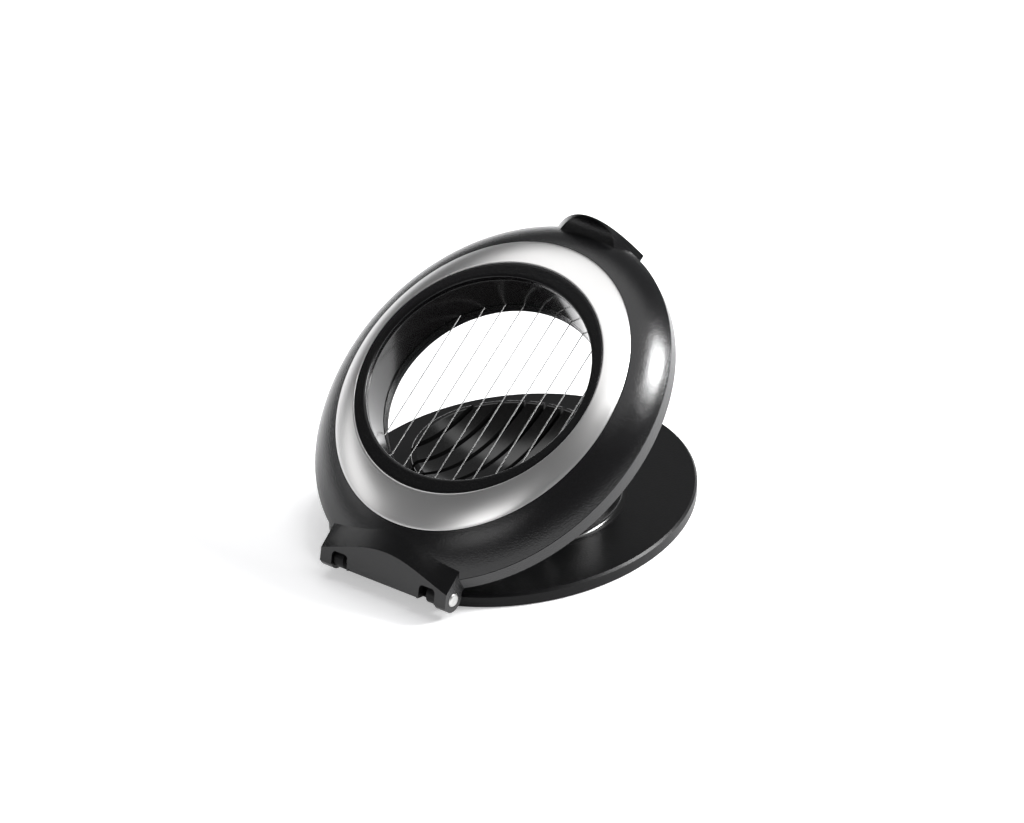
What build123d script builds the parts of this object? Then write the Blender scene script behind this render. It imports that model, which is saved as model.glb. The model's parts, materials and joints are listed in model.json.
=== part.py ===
from build123d import *
import os
from math import cos, radians, sin, sqrt

# Egg slicer with a hinged, dome-shaped lid, in millimetres.
# Origin: centre of the rubber sole's underside, on the table. +Z is up, and +Y runs
# from the hinge to the far end of the base plate.
# The lid is drawn in its own frame: x across, y from the hinge axis to the thumb tab,
# and h square to the lid, away from the base.

# Base plate and its rubber sole
base_half_width = 63.3
base_half_length = 74.9
base_thickness = 5.2
base_edge_chamfer = 0.8
base_foot_gap = 0.4
base_hinge_cut = 4.5
sole_half_width = 44.0
sole_half_length = 54.0
sole_thickness = 1.2

# Hinge
hinge_reach = 75.2
hinge_height = 7.4
lid_opening_angle = 31.3
ear_inner_x = 23.0
ear_outer_x = 28.0
ear_radius = 4.95
knuckle_inner_x = 18.6
knuckle_outer_x = 22.7
knuckle_radius = 3.9
plate_edge_x = 16.0
notch_height = 6.0
notch_depth = 4.4
notch_fillet = 1.5
pin_radius = 1.6
pin_running_clearance = 0.05
pin_head_radius = 2.8
pin_head_seat = 1.0
pin_head_dome = 0.6
pin_end_gap = 0.2

# Slicing tray
tray_foot_radius = 41.5
tray_foot_fillet = 2.5
tray_rim_radius = 37.5
tray_rim_width = 2.0
tray_rim_fillet = 0.8
tray_rim_height = 22.0
tray_dish_bottom = 13.0
tray_slot_width = 1.6
tray_slot_floor = 10.6
tray_cavity_radius = 35.0
tray_cavity_top = 8.4
tray_screw_circle = 26.0
tray_screw_count = 4
tray_screw_start = 45

# Lid: oval loops, as half width, half length and height above the hinge axis
rim_bottom = -1.9
seam_height = 4.4
seam_oval = (64.0, 76.5)
dome_oval = (59.6, 70.1)
dome_height = 11.1
trim_outer_oval = (53.4, 62.0)
trim_outer_height = 16.2
trim_middle_oval = (50.1, 55.7)
trim_middle_height = 19.2
trim_inner_oval = (46.3, 49.0)
trim_inner_height = 21.4
trim_thickness = 0.9
trim_gap = 0.15
shell_wall = 2.4
seam_groove_width = 0.4
seam_groove_depth = 0.5
seam_groove_drop = 0.1
bezel_thickness = 2.5
bezel_edge_fillet = 0.9
opening_radius_top = 42.7
opening_radius_bottom = 41.4
liner_wall = 1.6
liner_hole_radius = 44.6

# Wires, their frame and the cover below it
wire_count = 10
wire_pitch = 7.0
wire_radius = 0.2
wire_height = 4.2
wire_end_circle = 47.0
bead_radius = 0.9
bead_length = 2.0
frame_outer_radius = 51.0
frame_bottom = 1.5
flange_thickness = 2.0
cover_bottom = -0.5
cover_half_width = 61.3
cover_half_length = 73.8
cover_hinge_edge = 6.5
cover_head_pocket = 1.2
lid_screw_circle = 47.6
lid_screw_angles = (90, 155, 205, 270, 335, 25)
lid_screw_depth = 6.0

# Screws
screw_radius = 1.3
screw_head_radius = 2.5
screw_head_height = 1.4
screw_play = 0.1
screw_tip_gap = 1.0
boss_radius = 3.2

# Hinge block
block_rear_y = -6.0
block_front_y = 10.0
block_rear_crown = 6.3
block_rear_side = 5.3
block_front_crown = 14.6
block_front_side = 6.8
block_floor = -8.0
block_toe = -1.3
face_lower = (-5.1, 1.75)
face_upper = (7.3, 15.6)
face_recess = 0.4
face_lip = 0.8
recess_half_width = 20.0
recess_crown = 11.6
recess_side = 7.7
recess_shoulder = 6.3

# Thumb tab
tab_half_width = 19.2
tab_crown = 14.4
tab_reach = 152.8
tab_face_radius = 140.0
tab_root_y = 138.0
scoop_center = (144.6, 16.6)
scoop_radius = 8.0

# Cuts that only have to clear the part reach this far
clear = 30.0

os.makedirs("parts", exist_ok=True)

tilt = radians(lid_opening_angle)
hinge_y = -hinge_reach
along_lid = Vector(0, cos(tilt), sin(tilt))
off_lid = Vector(0, -sin(tilt), cos(tilt))
hinge_point = Vector(0, hinge_y, hinge_height)
lid_plane = Plane(origin=hinge_point, x_dir=(1, 0, 0), z_dir=off_lid)
lid_center = (0, hinge_reach)
wire_xs = [(i - (wire_count - 1) / 2) * wire_pitch for i in range(wire_count)]
lean = Vector(0, face_upper[0] - face_lower[0], face_upper[1] - face_lower[1]).normalized()
face_plane = Plane(
    origin=hinge_point + along_lid * face_lower[0] + off_lid * face_lower[1],
    x_dir=(-1, 0, 0),
    z_dir=off_lid * lean.Y - along_lid * lean.Z,
)
frame_top = wire_height - wire_radius
flange_bottom = wire_height + wire_radius
bezel_bottom = trim_inner_height - bezel_thickness


def lid_level(height):
    """Plane parallel to the lid at a height above the hinge axis."""
    return lid_plane.offset(height)


def lid_side(x):
    """Plane across the lid at x: its own x runs along the lid and its own y off the lid."""
    return Plane(origin=hinge_point + Vector(x, 0, 0), x_dir=along_lid, z_dir=(1, 0, 0))


def lid_end(y):
    """Plane square to the lid at y: its own x runs across and its own y off the lid."""
    return Plane(origin=hinge_point + along_lid * y, x_dir=(1, 0, 0), z_dir=-along_lid)


def finish(part, name):
    """Label a finished sub-part and write it to its own STEP file."""
    part.label = name
    export_step(part, f"parts/{name}.step")


# --- Base plate: flat oval plate with two hinge knuckles on short arms ---
with BuildPart() as base_plate:
    with BuildSketch(Plane.XY.offset(base_foot_gap)):
        Ellipse(base_half_width, base_half_length)
    extrude(amount=base_thickness - base_foot_gap)
    chamfer(base_plate.faces().sort_by(Axis.Z)[-1].edges(), base_edge_chamfer)
    # the hinge end is cut straight, so that the lid's rim can turn past it
    with BuildSketch(Plane.XY):
        with Locations((0, hinge_y + base_hinge_cut)):
            Rectangle(2 * base_half_width, clear, align=(Align.CENTER, Align.MAX))
    extrude(amount=base_thickness, mode=Mode.SUBTRACT)
    # knuckles
    for side in (-1, 1):
        start = side * knuckle_inner_x
        with BuildSketch(Plane.YZ.offset(start)):
            with Locations((hinge_y, hinge_height)):
                Circle(knuckle_radius)
            with BuildLine():
                Polyline(
                    (hinge_y, base_thickness),
                    (hinge_y, hinge_height - knuckle_radius),
                    (hinge_y + base_hinge_cut, base_foot_gap),
                    (hinge_y + 2 * base_hinge_cut, base_foot_gap),
                    (hinge_y + 2 * base_hinge_cut, base_thickness),
                    close=True,
                )
            make_face()
        extrude(amount=side * (knuckle_outer_x - knuckle_inner_x))
        with BuildSketch(Plane.YZ.offset(start)):
            with Locations((hinge_y, hinge_height)):
                Circle(pin_radius + pin_running_clearance)
        extrude(amount=side * (knuckle_outer_x - knuckle_inner_x), mode=Mode.SUBTRACT)
    # recess for the sole, and the tray's screw holes with their head pockets
    with BuildSketch(Plane.XY):
        Ellipse(sole_half_width, sole_half_length)
    extrude(amount=sole_thickness, mode=Mode.SUBTRACT)
    with BuildSketch(Plane.XY):
        with PolarLocations(tray_screw_circle, tray_screw_count, start_angle=tray_screw_start):
            Circle(screw_radius)
    extrude(amount=base_thickness, mode=Mode.SUBTRACT)
    with BuildSketch(Plane.XY):
        with PolarLocations(tray_screw_circle, tray_screw_count, start_angle=tray_screw_start):
            Circle(screw_head_radius)
    extrude(amount=sole_thickness + screw_head_height, mode=Mode.SUBTRACT)
finish(base_plate.part, "base_plate")

# --- Rubber sole: oval sheet let into the base plate's underside ---
with BuildPart() as rubber_sole:
    with BuildSketch(Plane.XY):
        Ellipse(sole_half_width - trim_gap, sole_half_length - trim_gap)
    extrude(amount=sole_thickness)
    fillet(rubber_sole.faces().sort_by(Axis.Z)[0].edges(), base_foot_gap)
finish(rubber_sole.part, "rubber_sole")

# --- Slicing tray: round pedestal with a dish on top and one slot for each wire ---
dish_rim = tray_rim_radius - tray_rim_width
with BuildPart() as slicing_tray:
    with BuildSketch(Plane.XZ):
        with BuildLine():
            foot_top = (tray_foot_radius - tray_foot_fillet, base_thickness + tray_foot_fillet)
            Line((0, base_thickness), (tray_foot_radius, base_thickness))
            RadiusArc((tray_foot_radius, base_thickness), foot_top, tray_foot_fillet)
            Line(foot_top, (tray_rim_radius, tray_rim_height))
            Line((tray_rim_radius, tray_rim_height), (dish_rim, tray_rim_height))
            dish_depth = tray_rim_height - tray_dish_bottom
            dish_radius = (dish_rim**2 + dish_depth**2) / (2 * dish_depth)
            RadiusArc((dish_rim, tray_rim_height), (0, tray_dish_bottom), dish_radius)
            Line((0, tray_dish_bottom), (0, base_thickness))
        make_face()
    revolve(axis=Axis.Z)
    fillet(slicing_tray.edges().group_by(Axis.Z)[-1], tray_rim_fillet)
    # slots from the rim down past the lowest place of the wires
    with BuildSketch(Plane.XY.offset(tray_slot_floor)):
        with Locations(*[(x, 0) for x in wire_xs]):
            Rectangle(tray_slot_width, 3 * tray_foot_radius)
    extrude(amount=tray_rim_height, mode=Mode.SUBTRACT)
    # hollow underside with screw bosses
    with BuildSketch(Plane.XY.offset(base_thickness)):
        Circle(tray_cavity_radius)
        with PolarLocations(tray_screw_circle, tray_screw_count, start_angle=tray_screw_start):
            Circle(boss_radius, mode=Mode.SUBTRACT)
    extrude(amount=tray_cavity_top - base_thickness, mode=Mode.SUBTRACT)
    with BuildSketch(Plane.XY.offset(base_thickness)):
        with PolarLocations(tray_screw_circle, tray_screw_count, start_angle=tray_screw_start):
            Circle(screw_radius)
    extrude(amount=tray_cavity_top - base_thickness + screw_tip_gap, mode=Mode.SUBTRACT)
finish(slicing_tray.part, "slicing_tray")

# --- Tray screws: driven up from below the base plate, hidden by the sole ---
with BuildPart() as tray_screws:
    with BuildSketch(Plane.XY.offset(sole_thickness + screw_play)):
        with PolarLocations(tray_screw_circle, tray_screw_count, start_angle=tray_screw_start):
            Circle(screw_head_radius - screw_play)
    extrude(amount=screw_head_height - screw_play)
    with BuildSketch(Plane.XY.offset(sole_thickness + screw_head_height)):
        with PolarLocations(tray_screw_circle, tray_screw_count, start_angle=tray_screw_start):
            Circle(screw_radius)
    extrude(amount=tray_cavity_top - sole_thickness - screw_head_height)
finish(tray_screws.part, "tray_screws")

# --- Lid shell: oval dome with the hinge block, its two ears and the thumb tab ---
inner_seam_oval = tuple(r - shell_wall for r in seam_oval)
inner_trim_oval = tuple(r - shell_wall for r in trim_outer_oval)
with BuildPart() as lid_cavity:
    with BuildSketch(lid_level(rim_bottom - shell_wall)):
        with Locations(lid_center):
            Ellipse(*inner_seam_oval)
    extrude(amount=seam_height - rim_bottom + shell_wall / 2)
    with BuildSketch(lid_level(seam_height - shell_wall / 2)):
        with Locations(lid_center):
            Ellipse(*inner_seam_oval)
    with BuildSketch(lid_level(dome_height - shell_wall)):
        with Locations(lid_center):
            Ellipse(dome_oval[0] - shell_wall, dome_oval[1] - shell_wall)
    with BuildSketch(lid_level(trim_outer_height - trim_thickness - shell_wall)):
        with Locations(lid_center):
            Ellipse(*inner_trim_oval)
    loft()
    with BuildSketch(lid_level(trim_outer_height - trim_thickness - shell_wall)):
        with Locations(lid_center):
            Ellipse(*inner_trim_oval)
    with BuildSketch(lid_level(bezel_bottom - shell_wall)):
        with Locations(lid_center):
            Ellipse(*trim_inner_oval)
    loft()

with BuildPart() as hinge_block:
    # arched bar whose crown rises from the rear edge to the dome
    for y, crown, edge in (
        (block_rear_y, block_rear_crown, block_rear_side),
        (block_front_y, block_front_crown, block_front_side),
    ):
        with BuildSketch(lid_end(y)):
            with BuildLine():
                ThreePointArc((-ear_outer_x, edge), (0, crown), (ear_outer_x, edge))
                Polyline(
                    (ear_outer_x, edge),
                    (ear_outer_x, block_floor),
                    (-ear_outer_x, block_floor),
                    (-ear_outer_x, edge),
                )
            make_face()
    loft(ruled=True)
    # side outline: the leaning face above, the pin's round ears below
    with BuildSketch(lid_side(-ear_outer_x)):
        Circle(ear_radius)
        with BuildLine():
            Polyline(
                face_lower,
                face_upper,
                (block_front_y, face_upper[1]),
                (block_front_y, rim_bottom),
                (0, rim_bottom),
                close=True,
            )
        make_face()
    extrude(amount=2 * ear_outer_x, mode=Mode.INTERSECT)
    # between the ears the face runs straight down to the plate's lower edge
    with BuildSketch(lid_side(-ear_inner_x)):
        with BuildLine():
            Polyline(
                (block_floor, block_floor),
                (block_floor, block_rear_crown),
                face_lower,
                (block_toe, rim_bottom),
                (block_front_y, rim_bottom),
                (block_front_y, block_floor),
                close=True,
            )
        make_face()
    extrude(amount=2 * ear_inner_x, mode=Mode.SUBTRACT)

with BuildPart() as thumb_tab:
    # arched lip that stands up at the far end of the oval
    with BuildSketch(lid_end(tab_root_y)):
        with BuildLine():
            Bezier((-tab_half_width, 0), (0, 2 * tab_crown), (tab_half_width, 0))
            Line((tab_half_width, 0), (-tab_half_width, 0))
        make_face()
    extrude(amount=tab_root_y - tab_reach)
    with BuildSketch(lid_level(0)):
        with Locations((0, tab_reach - tab_face_radius)):
            Circle(tab_face_radius)
    extrude(amount=tab_crown, mode=Mode.INTERSECT)
    # thumb scoop across the top of the lip
    with BuildSketch(lid_side(-tab_half_width)):
        with Locations(scoop_center):
            Circle(scoop_radius)
        with Locations((tab_root_y, scoop_center[1] - scoop_radius)):
            Rectangle(scoop_center[0] - tab_root_y, clear, align=(Align.MIN, Align.MIN))
    extrude(amount=2 * tab_half_width, mode=Mode.SUBTRACT)

with BuildPart() as lid_shell:
    with BuildSketch(lid_level(rim_bottom)):
        with Locations(lid_center):
            Ellipse(*seam_oval)
    extrude(amount=seam_height - rim_bottom)
    for oval, height in (
        (seam_oval, seam_height),
        (dome_oval, dome_height),
        (trim_outer_oval, trim_outer_height),
    ):
        with BuildSketch(lid_level(height)):
            with Locations(lid_center):
                Ellipse(*oval)
    loft()
    # seam groove round the top of the rim
    with BuildSketch(lid_level(seam_height - seam_groove_drop)):
        with Locations(lid_center):
            Ellipse(seam_oval[0] + seam_groove_depth, seam_oval[1] + seam_groove_depth)
            Ellipse(
                seam_oval[0] - seam_groove_depth,
                seam_oval[1] - seam_groove_depth,
                mode=Mode.SUBTRACT,
            )
    extrude(amount=-seam_groove_width, mode=Mode.SUBTRACT)
    add(hinge_block.part)
    add(thumb_tab.part)
    # seat for the steel trim: a step down, then a slope one sheet thickness below it
    with BuildSketch(lid_level(trim_outer_height - trim_thickness)):
        with Locations(lid_center):
            Ellipse(trim_outer_oval[0] + trim_gap, trim_outer_oval[1] + trim_gap)
    extrude(amount=clear, mode=Mode.SUBTRACT)
    for oval, height in (
        (trim_outer_oval, trim_outer_height),
        (trim_middle_oval, trim_middle_height),
        (trim_inner_oval, trim_inner_height),
    ):
        with BuildSketch(lid_level(height - trim_thickness)):
            with Locations(lid_center):
                Ellipse(*oval)
    loft()
    add(lid_cavity.part, mode=Mode.SUBTRACT)
    # seat for the bezel and the round hole for the liner
    with BuildSketch(lid_level(bezel_bottom)):
        with Locations(lid_center):
            Ellipse(*trim_inner_oval)
    extrude(amount=clear, mode=Mode.SUBTRACT)
    with BuildSketch(lid_level(rim_bottom)):
        with Locations(lid_center):
            Circle(liner_hole_radius)
    extrude(amount=clear, mode=Mode.SUBTRACT)
    # screw bosses hang from the crown down to the liner's flange
    boss_bottom = flange_bottom + flange_thickness
    boss_top = bezel_bottom - shell_wall / 2
    for angle in lid_screw_angles:
        with BuildSketch(lid_level(boss_bottom)):
            with Locations(lid_center):
                with PolarLocations(lid_screw_circle, 1, start_angle=angle):
                    Circle(boss_radius)
        extrude(amount=boss_top - boss_bottom)
        with BuildSketch(lid_level(boss_bottom)):
            with Locations(lid_center):
                with PolarLocations(lid_screw_circle, 1, start_angle=angle):
                    Circle(screw_radius)
        extrude(amount=lid_screw_depth, mode=Mode.SUBTRACT)
    with BuildSketch(lid_level(boss_bottom)):
        with Locations(lid_center):
            Circle(liner_hole_radius)
    extrude(amount=boss_top, mode=Mode.SUBTRACT)
    for side in (-1, 1):
        # notch for the base plate's knuckle, open to the rear and below
        with BuildSketch(lid_end(block_floor)):
            with Locations((side * (plate_edge_x + ear_inner_x) / 2, 0)):
                RectangleRounded(ear_inner_x - plate_edge_x, 2 * notch_height, notch_fillet)
        extrude(amount=block_floor - notch_depth, mode=Mode.SUBTRACT)
        # bore and head seat for the pin
        with BuildSketch(lid_side(side * plate_edge_x)):
            Circle(pin_radius)
        extrude(amount=side * clear, mode=Mode.SUBTRACT)
        with BuildSketch(lid_side(side * (ear_outer_x - pin_head_seat))):
            Circle(pin_head_radius)
        extrude(amount=side * clear, mode=Mode.SUBTRACT)
    # shallow half-moon recess in the hinge block's leaning face
    with BuildSketch(face_plane):
        with BuildLine():
            ThreePointArc(
                (-recess_half_width, recess_side),
                (0, recess_crown),
                (recess_half_width, recess_side),
            )
            for side in (-1, 1):
                Polyline(
                    (side * recess_half_width, recess_side),
                    (side * (plate_edge_x + face_lip), recess_shoulder),
                    (side * (plate_edge_x - face_lip), recess_shoulder),
                    (side * (plate_edge_x - face_lip), -face_lip),
                )
            Line((face_lip - plate_edge_x, -face_lip), (plate_edge_x - face_lip, -face_lip))
        make_face()
    extrude(amount=-face_recess, mode=Mode.SUBTRACT)
finish(lid_shell.part, "lid_shell")

# --- Steel trim ring: oval sheet ring pressed to the slope of the dome's crown ---
with BuildPart() as steel_trim_ring:
    for lowering, mode in ((0, Mode.ADD), (trim_thickness, Mode.SUBTRACT)):
        for oval, height in (
            (trim_outer_oval, trim_outer_height),
            (trim_middle_oval, trim_middle_height),
            (trim_inner_oval, trim_inner_height),
        ):
            with BuildSketch(lid_level(height - lowering)):
                with Locations(lid_center):
                    Ellipse(*oval)
        loft(mode=mode)
    with BuildSketch(lid_level(trim_outer_height)):
        with Locations(lid_center):
            Ellipse(*trim_inner_oval)
    extrude(amount=clear, mode=Mode.SUBTRACT)
finish(steel_trim_ring.part, "steel_trim_ring")

# --- Bezel: flat lip from the trim's oval edge in to the round opening ---
with BuildPart() as bezel_ring:
    with BuildSketch(lid_level(bezel_bottom)):
        with Locations(lid_center):
            Ellipse(trim_inner_oval[0] - trim_gap, trim_inner_oval[1] - trim_gap)
            Circle(opening_radius_top, mode=Mode.SUBTRACT)
    extrude(amount=bezel_thickness)
    opening_edges = bezel_ring.edges().filter_by(GeomType.CIRCLE)
    fillet(opening_edges.sort_by(Axis(hinge_point, off_lid))[-1], bezel_edge_fillet)
finish(bezel_ring.part, "bezel_ring")

# --- Tunnel liner: sleeve that guides the food, with a flange that holds the wires down ---
liner_outer_top = opening_radius_top + liner_wall
liner_outer_bottom = opening_radius_bottom + liner_wall
with BuildPart() as tunnel_liner:
    for radius, height in (
        (liner_outer_bottom, flange_bottom),
        (liner_outer_top, bezel_bottom),
    ):
        with BuildSketch(lid_level(height)):
            with Locations(lid_center):
                Circle(radius)
    loft()
    with BuildSketch(lid_level(flange_bottom)):
        with Locations(lid_center):
            Circle(frame_outer_radius)
    extrude(amount=flange_thickness)
    for radius, height in (
        (opening_radius_bottom, flange_bottom),
        (opening_radius_top, bezel_bottom),
    ):
        with BuildSketch(lid_level(height)):
            with Locations(lid_center):
                Circle(radius)
    loft(mode=Mode.SUBTRACT)
    with BuildSketch(lid_level(flange_bottom)):
        with Locations(lid_center):
            for angle in lid_screw_angles:
                with PolarLocations(lid_screw_circle, 1, start_angle=angle):
                    Circle(screw_radius)
    extrude(amount=flange_thickness, mode=Mode.SUBTRACT)
finish(tunnel_liner.part, "tunnel_liner")

# --- Wire frame: flat ring below the liner, with a pocket for each wire's end bead ---
wire_reaches = [sqrt(wire_end_circle**2 - x**2) for x in wire_xs]
bead_spots = [
    (x, hinge_reach + end * reach) for x, reach in zip(wire_xs, wire_reaches) for end in (-1, 1)
]
with BuildPart() as wire_frame:
    with BuildSketch(lid_level(frame_bottom)):
        with Locations(lid_center):
            Circle(frame_outer_radius)
            Circle(opening_radius_bottom, mode=Mode.SUBTRACT)
            for angle in lid_screw_angles:
                with PolarLocations(lid_screw_circle, 1, start_angle=angle):
                    Circle(screw_radius, mode=Mode.SUBTRACT)
    extrude(amount=frame_top - frame_bottom)
    with BuildSketch(lid_level(frame_bottom)):
        with Locations(*bead_spots):
            Circle(bead_radius)
    extrude(amount=frame_top - frame_bottom, mode=Mode.SUBTRACT)
finish(wire_frame.part, "wire_frame")

# --- Cutting wires, stretched from the hinge side to the thumb side of the frame ---
for number, (x, reach) in enumerate(zip(wire_xs, wire_reaches), start=1):
    with BuildPart() as cutting_wire:
        with BuildSketch(lid_end(hinge_reach - reach)):
            with Locations((x, wire_height)):
                Circle(wire_radius)
        extrude(amount=-2 * reach)
    finish(cutting_wire.part, f"cutting_wire_{number:02d}")

# --- Wire beads: crimped studs on the wires' ends, seated in the frame's pockets ---
with BuildPart() as wire_beads:
    with BuildSketch(lid_level(frame_top - bead_length)):
        with Locations(*bead_spots):
            Circle(bead_radius)
    extrude(amount=bead_length)
finish(wire_beads.part, "wire_beads")

# --- Underside cover: flat plate that closes the lid from below around the opening ---
with BuildPart() as underside_cover:
    with BuildSketch(lid_level(cover_bottom)):
        with Locations(lid_center):
            Ellipse(cover_half_width, cover_half_length)
            Circle(opening_radius_bottom, mode=Mode.SUBTRACT)
        with Locations((0, cover_hinge_edge)):
            Rectangle(
                2 * cover_half_width,
                clear,
                align=(Align.CENTER, Align.MAX),
                mode=Mode.SUBTRACT,
            )
        with Locations(lid_center):
            for angle in lid_screw_angles:
                with PolarLocations(lid_screw_circle, 1, start_angle=angle):
                    Circle(screw_radius, mode=Mode.SUBTRACT)
    extrude(amount=frame_bottom - cover_bottom)
    with BuildSketch(lid_level(cover_bottom)):
        with Locations(lid_center):
            for angle in lid_screw_angles:
                with PolarLocations(lid_screw_circle, 1, start_angle=angle):
                    Circle(screw_head_radius)
    extrude(amount=cover_head_pocket, mode=Mode.SUBTRACT)
finish(underside_cover.part, "underside_cover")

# --- Lid screws: clamp the cover, the wire frame and the liner to the shell's bosses ---
with BuildPart() as lid_screws:
    with BuildSketch(lid_level(cover_bottom)):
        with Locations(lid_center):
            for angle in lid_screw_angles:
                with PolarLocations(lid_screw_circle, 1, start_angle=angle):
                    Circle(screw_head_radius - screw_play)
    extrude(amount=cover_head_pocket)
    with BuildSketch(lid_level(cover_bottom + cover_head_pocket)):
        with Locations(lid_center):
            for angle in lid_screw_angles:
                with PolarLocations(lid_screw_circle, 1, start_angle=angle):
                    Circle(screw_radius)
    shank_top = flange_bottom + flange_thickness + lid_screw_depth - screw_tip_gap
    extrude(amount=shank_top - cover_bottom - cover_head_pocket)
finish(lid_screws.part, "lid_screws")

# --- Hinge pins: a press fit in the lid's ears, turning in the base plate's knuckles ---
for side, name in ((1, "hinge_pin_right"), (-1, "hinge_pin_left")):
    with BuildPart() as hinge_pin:
        with BuildSketch(lid_side(side * (knuckle_inner_x + pin_end_gap))):
            Circle(pin_radius)
        extrude(amount=side * (ear_outer_x - pin_head_seat - knuckle_inner_x - pin_end_gap))
        with BuildSketch(lid_side(side * (ear_outer_x - pin_head_seat))):
            Circle(pin_head_radius - screw_play)
        extrude(amount=side * (pin_head_seat + pin_head_dome))
        head_end = hinge_pin.faces().sort_by(Axis.X)[-1 if side > 0 else 0]
        fillet(head_end.edges(), pin_head_seat)
    finish(hinge_pin.part, name)
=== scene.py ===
import json
import math

import bpy
import numpy as np
from mathutils import Matrix, Vector


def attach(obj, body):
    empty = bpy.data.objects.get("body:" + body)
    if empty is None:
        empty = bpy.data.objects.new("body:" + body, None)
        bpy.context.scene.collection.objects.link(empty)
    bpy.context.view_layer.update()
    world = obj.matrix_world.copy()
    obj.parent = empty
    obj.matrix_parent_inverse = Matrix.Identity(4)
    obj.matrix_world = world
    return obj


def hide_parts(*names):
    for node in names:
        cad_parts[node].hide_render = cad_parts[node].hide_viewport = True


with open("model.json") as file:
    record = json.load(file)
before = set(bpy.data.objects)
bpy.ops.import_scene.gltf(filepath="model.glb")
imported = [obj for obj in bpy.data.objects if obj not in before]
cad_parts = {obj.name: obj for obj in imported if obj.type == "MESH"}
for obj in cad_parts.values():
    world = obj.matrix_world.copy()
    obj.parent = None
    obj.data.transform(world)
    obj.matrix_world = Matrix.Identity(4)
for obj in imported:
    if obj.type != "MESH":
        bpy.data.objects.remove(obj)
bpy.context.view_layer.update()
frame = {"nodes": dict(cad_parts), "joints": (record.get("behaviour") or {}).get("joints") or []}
nodes = frame["nodes"]

# --- Camera ---
# A long lens looks down on the slicer from in front of its hinge and to one side.
view_back = Vector((0.5036, -0.6936, 0.5150))
view_right = Vector((0.8092, 0.5875, 0.0))
view_up = view_back.cross(view_right)
camera_data = bpy.data.cameras.new("camera")
camera_data.sensor_width = 36.0
camera_data.lens = 250.7
camera_data.clip_start = 0.1
camera_data.clip_end = 100.0
camera = bpy.data.objects.new("camera", camera_data)
turn = Matrix((view_right, view_up, view_back)).transposed()
camera.matrix_world = Matrix.Translation((1.3064, -1.8004, 1.3760)) @ turn.to_4x4()
bpy.context.scene.collection.objects.link(camera)
bpy.context.scene.camera = camera

# --- Studio light ---
# A wide overhead softbox stands a little behind the slicer. A small bright one at the
# right gives the dome its sharp highlight, and low cards in front lift the lower dome.
light_aim = Vector((0.0, 0.0, 0.045))
for name, azimuth, elevation, distance, width, height, radiance in (
    ("overhead_softbox", 0.0, 68.0, 1.6, 3.0, 1.4, 1.5),
    ("key_softbox", 45.0, 32.0, 1.3, 0.36, 0.4, 60.0),
    ("front_card", 166.0, 24.0, 1.8, 0.9, 0.5, 2.2),
    ("left_card", -118.0, 17.0, 1.6, 1.0, 0.4, 1.5),
):
    compass, rise = math.radians(azimuth), math.radians(elevation)
    level = math.cos(rise)
    outward = Vector((math.sin(compass) * level, math.cos(compass) * level, math.sin(rise)))
    softbox_data = bpy.data.lights.new(name, "AREA")
    softbox_data.shape = "RECTANGLE"
    softbox_data.size = width
    softbox_data.size_y = height
    softbox_data.energy = radiance * math.pi * width * height
    softbox = bpy.data.objects.new(name, softbox_data)
    softbox.location = light_aim + outward * distance
    softbox.rotation_mode = "QUATERNION"
    softbox.rotation_quaternion = outward.to_track_quat("Z", "Y")
    softbox.visible_camera = False
    bpy.context.scene.collection.objects.link(softbox)

# --- Room and floor ---
# A pale studio table runs out of sight. The room round it is white near the table and
# falls off to an even dark grey above.
room = bpy.data.worlds.new("studio_room")
room.use_nodes = True
room_nodes = room.node_tree.nodes
room_light = room_nodes["Background"]
room_light.inputs["Color"].default_value = (0.98, 0.985, 1.0, 1.0)
gaze = room_nodes.new("ShaderNodeTexCoord")
gaze_parts = room_nodes.new("ShaderNodeSeparateXYZ")
fade = room_nodes.new("ShaderNodeMapRange")
fade_height, wall_glow, upper_glow = 0.16, 1.1, 0.17
fade.inputs["From Min"].default_value = 0.0
fade.inputs["From Max"].default_value = fade_height
fade.inputs["To Min"].default_value = wall_glow
fade.inputs["To Max"].default_value = upper_glow
room.node_tree.links.new(gaze.outputs["Generated"], gaze_parts.inputs["Vector"])
room.node_tree.links.new(gaze_parts.outputs["Z"], fade.inputs["Value"])
room.node_tree.links.new(fade.outputs["Result"], room_light.inputs["Strength"])
bpy.context.scene.world = room
bpy.context.scene.view_settings.view_transform = "Standard"

floor_reach = 6.0
floor_mesh = bpy.data.meshes.new("studio_table")
floor_mesh.from_pydata(
    [(x * floor_reach, y * floor_reach, 0) for x, y in ((-1, -1), (1, -1), (1, 1), (-1, 1))],
    [],
    [(0, 1, 2, 3)],
)
floor = bpy.data.objects.new("studio_table", floor_mesh)
bpy.context.scene.collection.objects.link(floor)
table_paper = bpy.data.materials.new("table_paper")
table_paper.use_nodes = True
paper_shader = table_paper.node_tree.nodes["Principled BSDF"]
paper_shader.inputs["Base Color"].default_value = (0.93, 0.93, 0.94, 1.0)
paper_shader.inputs["Roughness"].default_value = 0.7
paper_shader.inputs["Emission Color"].default_value = (1.0, 1.0, 1.0, 1.0)
paper_shader.inputs["Emission Strength"].default_value = 0.4
floor_mesh.materials.append(table_paper)


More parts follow.
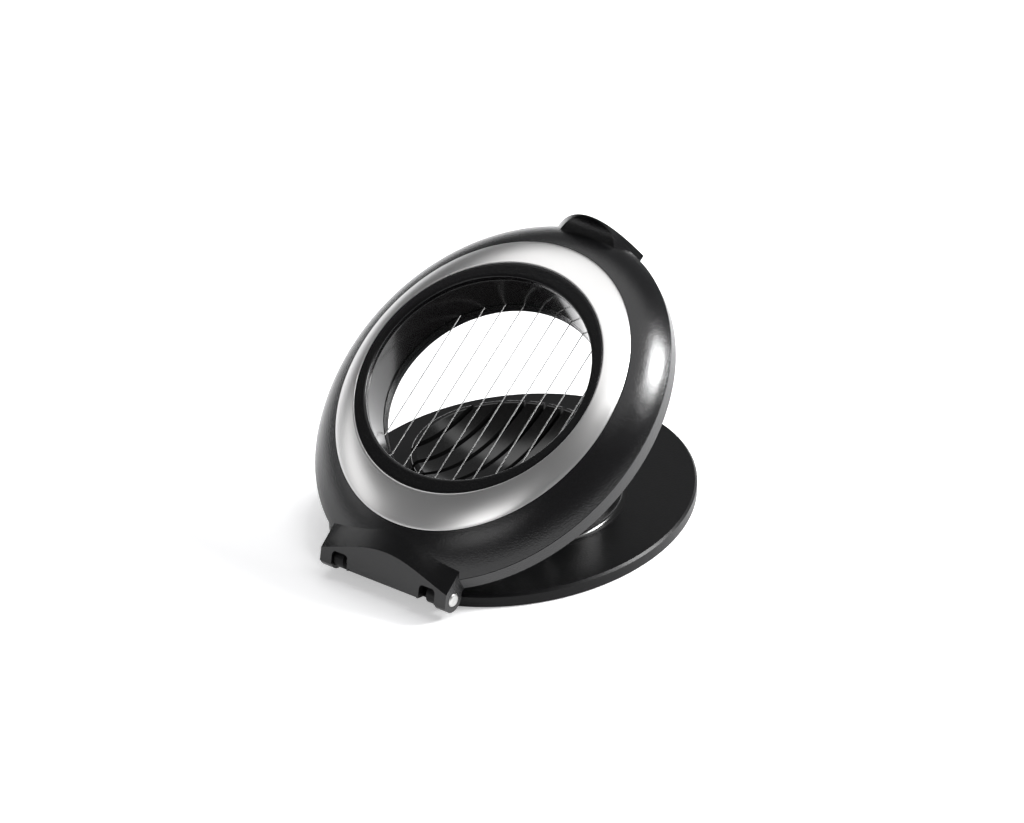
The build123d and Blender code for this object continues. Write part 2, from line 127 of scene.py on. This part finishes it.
# --- Base plate ---
# Flat oval plate, moulded in black plastic with a fine spark-eroded grain. Its two hinge
# knuckles stand on short arms at the rear, and the rubber sole is let in below.
def moulded_plastic(name, tone, roughness, shine, grain_size, grain_depth):
    """Black plastic whose skin carries the grain of its mould.

    The grain is a fine noise in object space that lifts the surface by grain_depth, and a
    coarser one varies the roughness a little, as hands and washing polish the plastic.
    """
    wear_scale, wear_share = 90.0, 0.12
    material = bpy.data.materials.new(name)
    material.use_nodes = True
    made = material.node_tree.nodes
    join = material.node_tree.links.new
    shader = made["Principled BSDF"]
    shader.inputs["Base Color"].default_value = (*tone, 1.0)
    shader.inputs["Specular IOR Level"].default_value = shine
    place = made.new("ShaderNodeTexCoord").outputs["Object"]
    grain = made.new("ShaderNodeTexNoise")
    grain.inputs["Scale"].default_value = 1.0 / grain_size
    grain.inputs["Detail"].default_value = 2.0
    lift = made.new("ShaderNodeBump")
    lift.inputs["Strength"].default_value = 1.0
    lift.inputs["Distance"].default_value = grain_depth
    polish = made.new("ShaderNodeTexNoise")
    polish.inputs["Scale"].default_value = wear_scale
    polish.inputs["Detail"].default_value = 3.0
    spread = made.new("ShaderNodeMapRange")
    spread.inputs["To Min"].default_value = roughness * (1 - wear_share)
    spread.inputs["To Max"].default_value = roughness * (1 + wear_share)
    join(place, grain.inputs["Vector"])
    join(place, polish.inputs["Vector"])
    join(grain.outputs["Fac"], lift.inputs["Height"])
    join(lift.outputs["Normal"], shader.inputs["Normal"])
    join(polish.outputs["Fac"], spread.inputs["Value"])
    join(spread.outputs["Result"], shader.inputs["Roughness"])
    return material


plate_plastic = moulded_plastic("plate_plastic", (0.003, 0.003, 0.0033), 0.36, 0.16, 0.0006, 0.00005)
nodes["base_plate"].material_slots[0].material = plate_plastic

# --- Rubber sole ---
# Thin oval of dull black rubber, cut from sheet. It is glued into its recess so that the
# plate stands on it without sliding.
sole_rubber = moulded_plastic("sole_rubber", (0.018, 0.018, 0.018), 0.75, 0.3, 0.0009, 0.00006)
nodes["rubber_sole"].material_slots[0].material = sole_rubber

# --- Slicing tray ---
# Round pedestal of glossy black plastic with a dished top, slotted where the wires pass.
# It is moulded on its own and screwed to the plate from below.
tray_plastic = moulded_plastic("tray_plastic", (0.004, 0.004, 0.004), 0.17, 0.5, 0.006, 0.000005)
nodes["slicing_tray"].material_slots[0].material = tray_plastic


# --- Tray screws ---
# Four plain zinc-plated steel screws, driven up through the plate into the tray's bosses.
# The rubber sole hides their heads.
def drawn_steel(name, tone, roughness, wear_size):
    """Bare steel with fine random wear: noise in object space varies the roughness."""
    wear_share = 0.25
    material = bpy.data.materials.new(name)
    material.use_nodes = True
    made = material.node_tree.nodes
    join = material.node_tree.links.new
    shader = made["Principled BSDF"]
    shader.inputs["Base Color"].default_value = (*tone, 1.0)
    shader.inputs["Metallic"].default_value = 1.0
    place = made.new("ShaderNodeTexCoord").outputs["Object"]
    wear = made.new("ShaderNodeTexNoise")
    wear.inputs["Scale"].default_value = 1.0 / wear_size
    wear.inputs["Detail"].default_value = 4.0
    spread = made.new("ShaderNodeMapRange")
    spread.inputs["To Min"].default_value = roughness * (1 - wear_share)
    spread.inputs["To Max"].default_value = roughness * (1 + wear_share)
    join(place, wear.inputs["Vector"])
    join(wear.outputs["Fac"], spread.inputs["Value"])
    join(spread.outputs["Result"], shader.inputs["Roughness"])
    return material


screw_zinc = drawn_steel("screw_zinc", (0.62, 0.62, 0.60), 0.3, 0.0008)
nodes["tray_screws"].material_slots[0].material = screw_zinc

# --- Lid shell ---
# Oval dome of grained black plastic with the hinge block and the thumb tab in one piece.
# Its grain is coarser than the plate's, and sparkles where a light catches it.
shell_plastic = moulded_plastic("shell_plastic", (0.003, 0.003, 0.0034), 0.21, 0.45, 0.0006, 0.00008)
nodes["lid_shell"].material_slots[0].material = shell_plastic


# --- Steel trim ring ---
# Oval ring pressed from satin stainless sheet, with rounded edges, and glued to the slope
# of the dome's crown between two hairline gaps.
lid_tilt = math.radians(-frame["joints"][0]["range_deg"][0])
hinge_y, hinge_z = -0.0752, 0.0074
lid_middle = 0.0752


def lid_to_row(x, y, h):
    """Points of the lid in the row frame: x across, y along it from the hinge, h off it."""
    return np.stack(
        [
            x,
            hinge_y + y * math.cos(lid_tilt) - h * math.sin(lid_tilt),
            hinge_z + y * math.sin(lid_tilt) + h * math.cos(lid_tilt),
        ],
        -1,
    )


def lid_ring(name, half_widths, half_lengths, heights, steps):
    """A closed ring on the lid, as a profile carried round an oval.

    At turn a round the lid's middle, profile point k lies at half_width[k] cos a across,
    half_length[k] sin a along and height[k] off the lid. The grid closes on itself both
    ways.
    """
    a = np.linspace(0, 2 * math.pi, steps, endpoint=False)[:, None]
    x = np.cos(a) * half_widths[None, :]
    y = lid_middle + np.sin(a) * half_lengths[None, :]
    points = lid_to_row(x, y, np.broadcast_to(heights[None, :], x.shape))
    rows, cols = x.shape
    i, k = np.meshgrid(np.arange(rows), np.arange(cols), indexing="ij")
    i2, k2 = (i + 1) % rows, (k + 1) % cols
    quads = np.stack([i * cols + k, i * cols + k2, i2 * cols + k2, i2 * cols + k], -1)
    mesh = bpy.data.meshes.new(name)
    mesh.from_pydata(points.reshape(-1, 3).tolist(), [], quads.reshape(-1, 4).tolist())
    mesh.shade_smooth()
    ring = bpy.data.objects.new(name, mesh)
    bpy.context.scene.collection.objects.link(ring)
    return ring


def rounded_corner(width, length, height, radius, start, end, steps=5):
    """A quarter turn of profile round a corner's centre, from the start to the end angle."""
    b = np.radians(np.linspace(start, end, steps))
    return width + radius * np.cos(b), length + radius * np.cos(b), height + radius * np.sin(b)


ring_steps = 320
trim_thickness, edge_round, edge_sink = 0.0009, 0.00012, 0.00002
# inner, middle and outer oval: half width, half length and height off the lid
loops = np.array([(0.0463, 0.0490, 0.0214), (0.0501, 0.0557, 0.0192), (0.0534, 0.0620, 0.0162)])
# a parabola through the three ovals gives the crowned slope
across = np.linspace(0, 1, 15)[:, None]
share = np.concatenate(
    [(1 - across) * (1 - 2 * across), 4 * across * (1 - across), across * (2 * across - 1)], 1
)
slope = share @ loops
edge_drop = np.array([[0.0, 0.0, -edge_round], [0.0, 0.0, -trim_thickness]])
rim_in = 0.00014
top = slope.copy()
top[0] += (rim_in, rim_in, -edge_sink)
top[-1] -= (rim_in, rim_in, -edge_sink)
trim_profile = np.concatenate(
    [top, slope[-1] + edge_drop, slope[::-1] + edge_drop[1], slope[:1] + edge_drop[:1]]
)
steel_trim = lid_ring("trim_ring_steel", *trim_profile.T, ring_steps)
satin_steel = drawn_steel("satin_steel", (0.64, 0.635, 0.63), 0.3, 0.03)
steel_trim.data.materials.append(satin_steel)
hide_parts("steel_trim_ring")
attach(steel_trim, "lid")

# --- Bezel ring ---
# Grained black plastic lip between the steel's oval edge and the round opening. Its
# edge towards the opening is rounded over, and the outer one is barely broken.
bezel_top, bezel_bottom = 0.0214, 0.0189
outer_across, outer_along = 0.04615, 0.04885
opening_radius = 0.0427
lip_round, edge_break = 0.0009, 0.00025
lip_center = opening_radius + lip_round
lip = rounded_corner(lip_center, lip_center, bezel_top - lip_round, lip_round, 180, 90, 9)
brim_center = (outer_across - edge_break, outer_along - edge_break, bezel_top - edge_break)
brim = rounded_corner(*brim_center, edge_break, 90, 0)
flat_share = np.linspace(0, 1, 7)[1:-1]
flat = [lip[n][-1] + flat_share * (brim[n][0] - lip[n][-1]) for n in range(3)]
lower = np.array(
    [(outer_across, outer_along, bezel_bottom), (opening_radius, opening_radius, bezel_bottom)]
)
bezel_profile = [np.concatenate([lip[n], flat[n], brim[n], lower[:, n]]) for n in range(3)]
bezel = lid_ring("bezel_lip", *bezel_profile, ring_steps)
bezel_plastic = moulded_plastic(
    "bezel_plastic", (0.003, 0.003, 0.0034), 0.2, 0.26, 0.0005, 0.00006
)
bezel.data.materials.append(bezel_plastic)
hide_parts("bezel_ring")
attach(bezel, "lid")

# --- Tunnel liner ---
# Glossy black sleeve that the food slides through. It tapers a little towards the wires,
# has a thin rounded top edge, and a flange below that the lid screws pass through.
liner_wall, flange_reach = 0.0016, 0.0510
throat_radius, flange_low, flange_high = 0.0414, 0.0044, 0.0064
edge = 0.0003
mouth_gap = 0.0001
mouth_top = bezel_bottom - mouth_gap
mouth = rounded_corner(
    opening_radius + edge, opening_radius + edge, mouth_top - edge, edge, 180, 90
)
throat = rounded_corner(
    throat_radius + edge, throat_radius + edge, flange_low + edge, edge, 270, 180
)
wall_share = np.linspace(0, 1, 16)[1:-1]
wall = [throat[n][-1] + wall_share * (mouth[n][0] - throat[n][-1]) for n in range(3)]
back = np.array(
    [
        (opening_radius + liner_wall, mouth_top),
        (throat_radius + liner_wall, flange_high),
        (flange_reach, flange_high),
        (flange_reach, flange_low),
    ]
)[:, (0, 0, 1)]
liner_profile = [np.concatenate([throat[n], wall[n], mouth[n], back[:, n]]) for n in range(3)]
liner = lid_ring("liner_sleeve", *liner_profile, ring_steps)
liner_plastic = moulded_plastic(
    "liner_plastic", (0.011, 0.011, 0.011), 0.15, 0.5, 0.008, 0.00002
)
liner.data.materials.append(liner_plastic)
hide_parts("tunnel_liner")
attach(liner, "lid")

# --- Wire frame ---
# Flat ring of harder black plastic, moulded with a pocket for each wire's end. It sits
# below the liner's flange and takes the pull of the wires.
frame_plastic = moulded_plastic("frame_plastic", (0.010, 0.010, 0.010), 0.25, 0.5, 0.002, 0.00002)
nodes["wire_frame"].material_slots[0].material = frame_plastic

# --- Underside cover ---
# Flat plate of grained black plastic that closes the lid from below, around the opening.
# It is held by the lid screws.
cover_plastic = moulded_plastic("cover_plastic", (0.006, 0.006, 0.0065), 0.4, 0.35, 0.0008, 0.00006)
nodes["underside_cover"].material_slots[0].material = cover_plastic

# --- Cutting wires and their beads ---
# Ten hard-drawn stainless wires are stretched across the frame. Each is ended by a bead,
# crimped on and seated in a pocket.
wire_steel = drawn_steel("wire_steel", (0.75, 0.75, 0.74), 0.25, 0.02)
for number in range(1, 11):
    nodes[f"cutting_wire_{number:02d}"].material_slots[0].material = wire_steel
nodes["wire_beads"].material_slots[0].material = wire_steel

# --- Lid screws ---
# Six zinc-plated steel screws, driven up from below. They clamp the cover, the wire frame
# and the liner to the shell's bosses.
nodes["lid_screws"].material_slots[0].material = screw_zinc

# --- Hinge pins ---
# Two turned stainless pins with domed heads. They are pressed into the lid's ears from
# outside and turn in the plate's knuckles.
pin_steel = drawn_steel("pin_steel", (0.6, 0.6, 0.59), 0.36, 0.0005)
for name in ("hinge_pin_right", "hinge_pin_left"):
    nodes[name].material_slots[0].material = pin_steel
